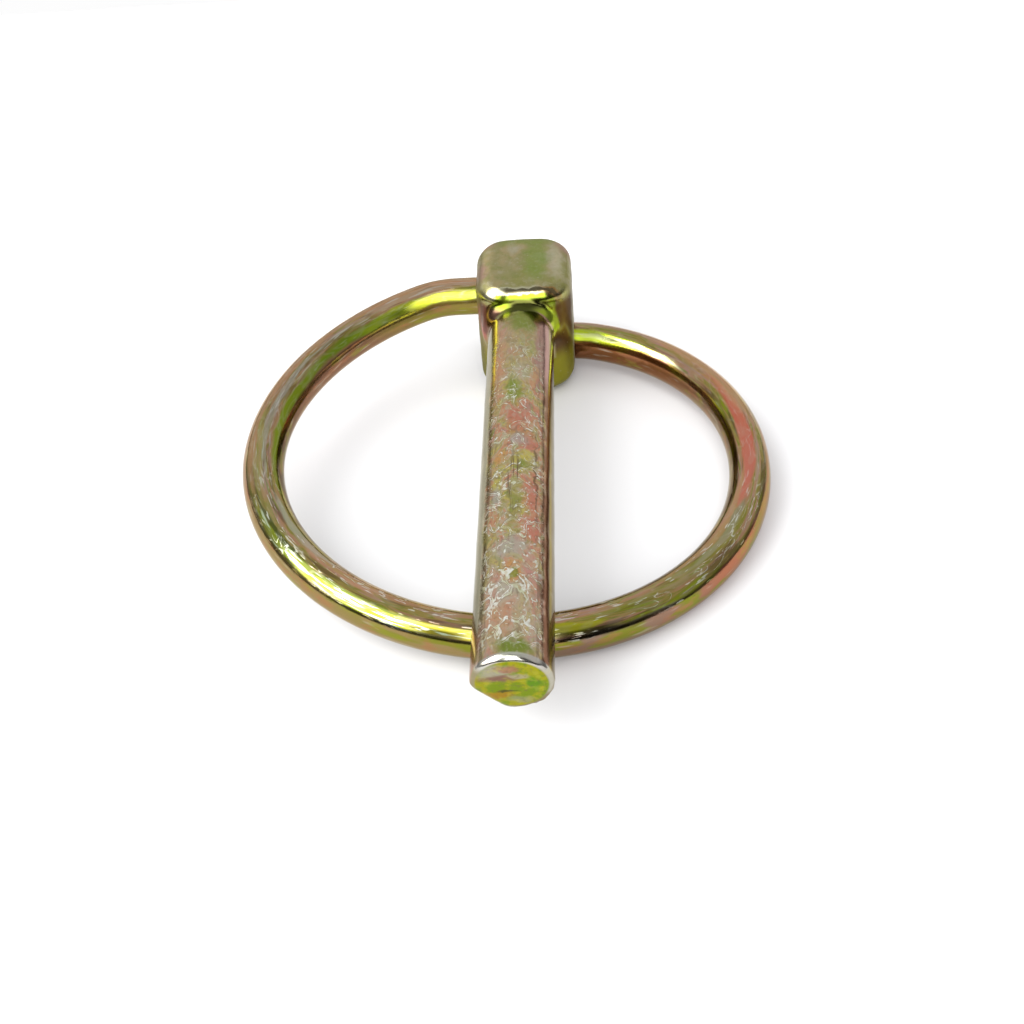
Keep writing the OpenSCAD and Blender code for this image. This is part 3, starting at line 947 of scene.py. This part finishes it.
# the dim room is brighter higher up, at the sides and behind, with one dark card at the front
dim = times(light, rise(light, height, 6.0, 20.0), 0.42)
at_sides = times(light, window(light, off_front, 55.0, 125.0, 20.0), 0.16)
dim = plus(light, dim, plus(light, 0.04, at_sides))
behind = times(light, rise(light, off_front, 105.0, 140.0), rise(light, height, -3.5, 3.5))
dim = plus(light, times(light, dim, math_of(light, "SUBTRACT", 1.0, behind)),
           times(light, behind, 0.76))
card = times(light, panel((22.0, 46.0), (2.0, 46.0), 12.0, 16.0), 0.85)
dim = times(light, dim, math_of(light, "SUBTRACT", 1.0, card))

# the softbox: its long side, cut away low down towards the back, its front, and the bridge
# between them
cut_away = most(light, math_of(light, "SUBTRACT", -82.0, bearing), 0.0)
cut_away = math_of(light, "SUBTRACT", height, times(light, cut_away, 1.3))
side = times(light, panel((-110.0, -31.0), (-90.0, 68.0), 12.0, 14.0), 5.0)
side = times(light, side, rise(light, cut_away, 10.0, 22.0))
front = times(light, panel((-11.0, 20.0), (18.0, 67.0), 8.0, 14.0), 5.0)
bridge = times(light, panel((-31.0, -11.0), (50.0, 68.0), 8.0, 14.0), 4.0)
softbox = plus(light, side, plus(light, front, bridge))

# the metal mirrors this room, the table takes an evened-out light, and the backdrop is white
mirrored = plus(light, dim, softbox)
evened = plus(light, times(light, mirrored, 0.30), 0.62)
path = add(light, "ShaderNodeLightPath").outputs
strength = add(light, "ShaderNodeMix", {"Factor": path["Is Diffuse Ray"], "A": mirrored, "B": evened},
               data_type="FLOAT").outputs["Result"]
glow = add(light, "ShaderNodeBackground", {"Color": (1, 1, 1, 1), "Strength": strength}).outputs[0]
off_white = (0.985, 0.985, 0.985, 1)
backdrop = add(light, "ShaderNodeBackground", {"Color": off_white, "Strength": 1.0}).outputs[0]
mixed = add(light, "ShaderNodeMixShader", {0: path["Is Camera Ray"], 1: glow, 2: backdrop}).outputs[0]
add(light, "ShaderNodeOutputWorld", {"Surface": mixed})

# ---------------------------------------------------------------- camera
# It looks down on the tip from in front, rolled a little, from about twelve centimetres.
aim = Vector((-0.502, -23.763, -1.7)) * mm
camera_distance = 120.761 * mm
camera_azimuth = math.radians(4.219)
camera_elevation = math.radians(39.269)
camera_roll = math.radians(4.918)
camera = bpy.data.objects.new("camera", bpy.data.cameras.new("camera"))
bpy.context.scene.collection.objects.link(camera)
camera.data.lens = 52.77
camera.data.sensor_width = 36
camera.data.clip_start = 1 * mm
camera.data.clip_end = 10
away = Vector((
    math.sin(camera_azimuth) * math.cos(camera_elevation),
    -math.cos(camera_azimuth) * math.cos(camera_elevation),
    math.sin(camera_elevation),
))
camera.matrix_world = (
    Matrix.Translation(aim + away * camera_distance)
    @ (-away).to_track_quat("-Z", "Y").to_matrix().to_4x4()
    @ Matrix.Rotation(-camera_roll, 4, "Z")
)
bpy.context.scene.camera = camera
bpy.context.scene.view_settings.view_transform = "Standard"
